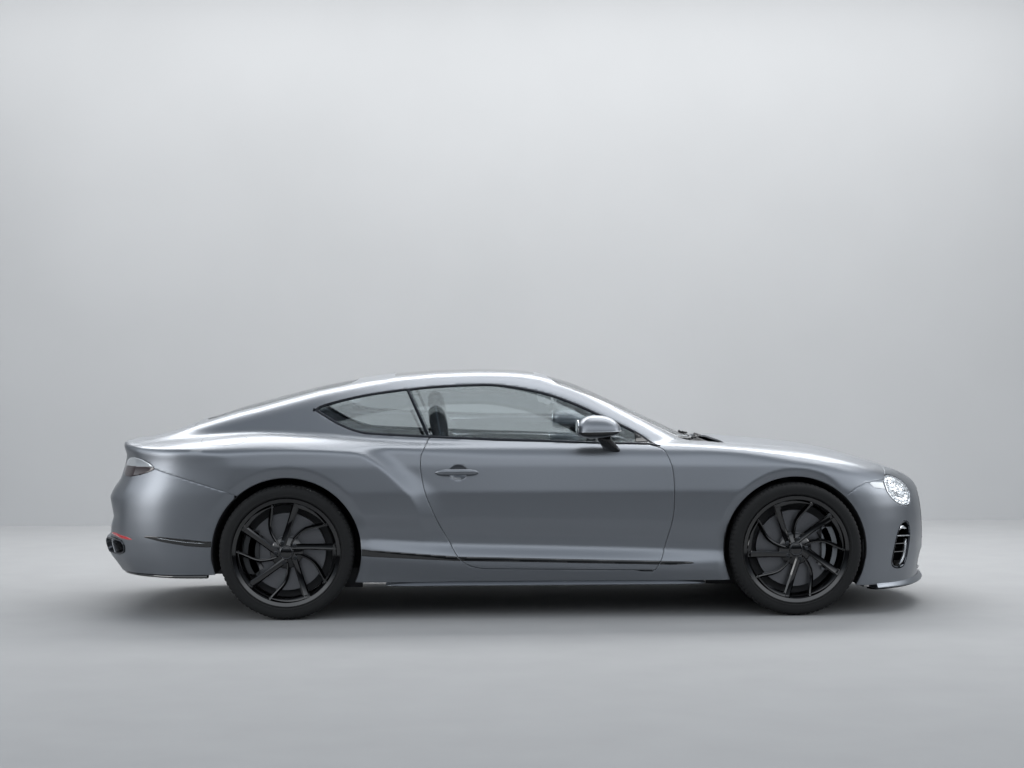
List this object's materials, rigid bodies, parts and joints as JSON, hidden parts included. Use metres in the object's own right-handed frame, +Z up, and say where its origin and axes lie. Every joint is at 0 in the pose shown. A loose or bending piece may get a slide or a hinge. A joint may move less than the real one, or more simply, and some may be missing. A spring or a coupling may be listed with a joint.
{
  "type": "coupe car",
  "caption": "Two-door grand touring coupe with a low greenhouse, muscular rear haunches, opening doors, bonnet and boot lid, steered front wheels and all wheels turning.",
  "frame": {"origin": "on the ground under the middle of the car's overall length and width", "axes": "+X forward along the car's length, +Y the car's left, +Z up"},
  "size_m": [4.8939, 2.175, 1.3933],
  "materials": {
    "paint": "satin metallic mid grey",
    "black_structure": "black primer on pressed steel",
    "glass": "smoked, clear",
    "gloss_black": "piano black",
    "matte_black": "grained",
    "lamp_clear": "clear lens",
    "lamp_rear": "smoked red lens",
    "steel_tip": "dark polished",
    "engine_metal": "cast",
    "leather_dark": "smooth hide",
    "suspension_metal": "cast",
    "tyre_rubber": "matt",
    "rim_black": "gloss black",
    "disc_metal": "ground"
  },
  "bodies": {
    "body": {"floor_pan": "black_structure", "cowl_panel": "matte_black", "body_side_left": "paint", "body_side_right": "paint", "roof_panel": "paint", "roof_glass": "glass", "windscreen": "glass", "rear_window": "glass", "quarter_windows": "glass", "front_fender_left": "paint", "front_fender_right": "paint", "front_bumper": "paint", "rear_bumper": "paint", "headlamps": "lamp_clear", "tail_lamps": "lamp_rear", "grilles": "gloss_black", "front_splitter": "gloss_black", "rear_diffuser": "gloss_black", "exhaust_tips": "steel_tip", "side_skirts": "gloss_black", "engine": "engine_metal", "dashboard": "leather_dark", "steering_wheel": "leather_dark", "front_seats": "leather_dark", "rear_seats": "leather_dark", "front_wheel_liners": "matte_black", "rear_wheel_liners": "matte_black", "front_subframe": "suspension_metal", "rear_axle": "suspension_metal"},
    "door_left": {"door_left": "paint", "door_glass_left": "glass", "mirror_left": "gloss_black"},
    "door_right": {"door_right": "paint", "door_glass_right": "glass", "mirror_right": "gloss_black"},
    "bonnet": {"bonnet": "paint"},
    "boot_lid": {"boot_lid": "paint"},
    "knuckle_left": {"knuckle_left": "suspension_metal"},
    "knuckle_right": {"knuckle_right": "suspension_metal"},
    "wheel_front_left": {"tyre_front_left": "tyre_rubber", "rim_front_left": "rim_black", "disc_front_left": "disc_metal"},
    "wheel_front_right": {"tyre_front_right": "tyre_rubber", "rim_front_right": "rim_black", "disc_front_right": "disc_metal"},
    "wheel_rear_left": {"tyre_rear_left": "tyre_rubber", "rim_rear_left": "rim_black", "disc_rear_left": "disc_metal"},
    "wheel_rear_right": {"tyre_rear_right": "tyre_rubber", "rim_rear_right": "rim_black", "disc_rear_right": "disc_metal"}
  },
  "joints": [
    {"name": "door_left_hinge", "type": "hinge", "parent": "body", "child": "door_left", "pos_m": [0.65, 0.93, 0.6], "axis": [0, 0, -1], "range_deg": [0, 68]},
    {"name": "door_right_hinge", "type": "hinge", "parent": "body", "child": "door_right", "pos_m": [0.65, -0.93, 0.6], "axis": [0, 0, 1], "range_deg": [0, 68]},
    {"name": "bonnet_hinge", "type": "hinge", "parent": "body", "child": "bonnet", "pos_m": [1.132, 0, 0.945], "axis": [0, -1, 0], "range_deg": [0, 52]},
    {"name": "boot_lid_hinge", "type": "hinge", "parent": "body", "child": "boot_lid", "pos_m": [-1.943, 0, 1.056], "axis": [0, 1, 0], "range_deg": [0, 72]},
    {"name": "steer_left", "type": "hinge", "parent": "body", "child": "knuckle_left", "pos_m": [1.499, 0.8195, 0.374], "axis": [0, 0, 1], "range_deg": [-32, 32]},
    {"name": "steer_right", "type": "hinge", "parent": "body", "child": "knuckle_right", "pos_m": [1.499, -0.8195, 0.374], "axis": [0, 0, 1], "range_deg": [-32, 32]},
    {"name": "wheel_front_left_spin", "type": "hinge", "parent": "knuckle_left", "child": "wheel_front_left", "pos_m": [1.499, 0.8355, 0.374], "axis": [0, 1, 0], "continuous": true},
    {"name": "wheel_front_right_spin", "type": "hinge", "parent": "knuckle_right", "child": "wheel_front_right", "pos_m": [1.499, -0.8355, 0.374], "axis": [0, 1, 0], "continuous": true},
    {"name": "wheel_rear_left_spin", "type": "hinge", "parent": "body", "child": "wheel_rear_left", "pos_m": [-1.352, 0.8155, 0.374], "axis": [0, 1, 0], "continuous": true},
    {"name": "wheel_rear_right_spin", "type": "hinge", "parent": "body", "child": "wheel_rear_right", "pos_m": [-1.352, -0.8155, 0.374], "axis": [0, 1, 0], "continuous": true}
  ],
  "couplings": [
    {"joint": "steer_right", "follows": "steer_left", "ratio": 1}
  ]
}
